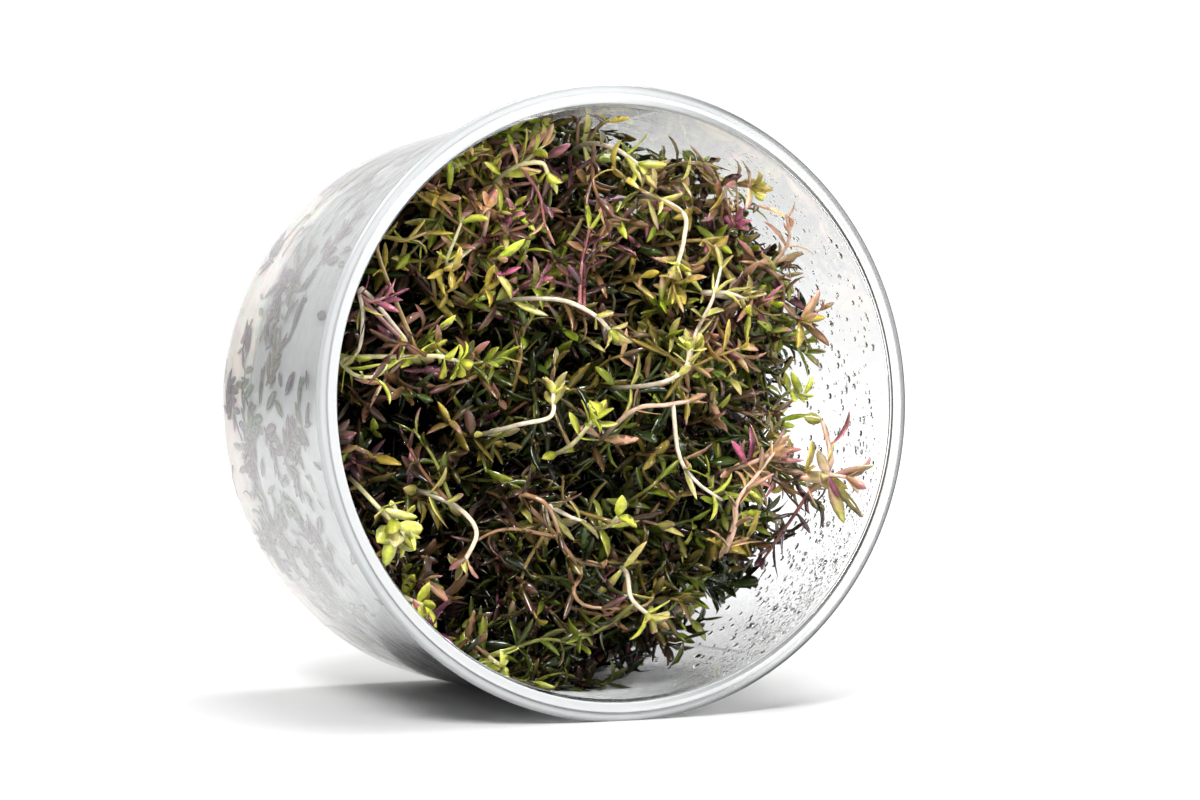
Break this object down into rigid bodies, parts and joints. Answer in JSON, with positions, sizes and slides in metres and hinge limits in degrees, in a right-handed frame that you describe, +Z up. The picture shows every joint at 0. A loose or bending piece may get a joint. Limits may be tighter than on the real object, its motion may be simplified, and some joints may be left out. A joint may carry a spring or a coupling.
{
  "type": "rotala plantlets in a culture cup",
  "caption": "Small aquarium stem plants with narrow bronze and green leaf pairs, rooted in a pad of gel in a round clear plastic cup that lies on its side.",
  "frame": {"origin": "middle of the bottom of the lying cup's box, on the surface it lies on", "axes": "+Z up, -Y out of the cup's mouth, +X to the right seen from the mouth"},
  "size_m": [0.0948, 0.0662, 0.0945],
  "materials": {
    "clear_plastic": "clear, glossy",
    "gel": "cloudy, wet",
    "foliage_green": "wet leaf",
    "foliage_olive": "wet leaf",
    "foliage_bronze": "wet leaf",
    "foliage_pink": "wet leaf",
    "foliage_magenta": "wet leaf",
    "foliage_pale": "wet leaf",
    "foliage_yellow": "wet leaf"
  },
  "bodies": {
    "root": {"cup": "clear_plastic", "gel": "gel", "pale_sprig_top": "foliage_pale", "drooping_sprig_top": "foliage_pale", "yellow_tip_top": "foliage_yellow", "pink_sprig_top": "foliage_pink", "long_white_stem": "foliage_pale", "round_leaf_pair": "foliage_yellow", "white_arch": "foliage_pale", "bright_fork": "foliage_yellow", "pink_arch": "foliage_pink", "white_riser": "foliage_pale", "yellow_cluster": "foliage_yellow", "pink_hook": "foliage_pale", "yellow_blade_low": "foliage_yellow", "white_sprig_low": "foliage_pale", "round_leaf_right": "foliage_yellow", "rim_sprig_left": "foliage_yellow", "rim_sprig_low": "foliage_yellow", "magenta_whorl": "foliage_magenta", "reaching_sprig_right": "foliage_pink", "sprig_top_right": "foliage_olive", "pale_sprig_right": "foliage_pale", "sprig_right": "foliage_olive", "pink_sprig_right": "foliage_pink", "olive_sprig_low": "foliage_olive", "plantlet_01": "foliage_green", "plantlet_02": "foliage_bronze", "plantlet_03": "foliage_olive", "plantlet_04": "foliage_bronze", "plantlet_05": "foliage_green", "plantlet_06": "foliage_bronze", "plantlet_07": "foliage_olive", "plantlet_08": "foliage_bronze", "plantlet_09": "foliage_green", "plantlet_10": "foliage_bronze", "plantlet_11": "foliage_olive", "plantlet_12": "foliage_bronze", "plantlet_13": "foliage_green", "plantlet_14": "foliage_bronze", "plantlet_15": "foliage_olive", "plantlet_16": "foliage_bronze", "plantlet_17": "foliage_green", "plantlet_18": "foliage_bronze", "plantlet_19": "foliage_olive", "plantlet_20": "foliage_bronze", "plantlet_21": "foliage_green", "plantlet_22": "foliage_bronze", "plantlet_23": "foliage_olive", "plantlet_24": "foliage_bronze", "plantlet_25": "foliage_green", "plantlet_26": "foliage_bronze", "plantlet_27": "foliage_olive", "plantlet_28": "foliage_bronze", "plantlet_29": "foliage_green"}
  },
  "joints": []
}
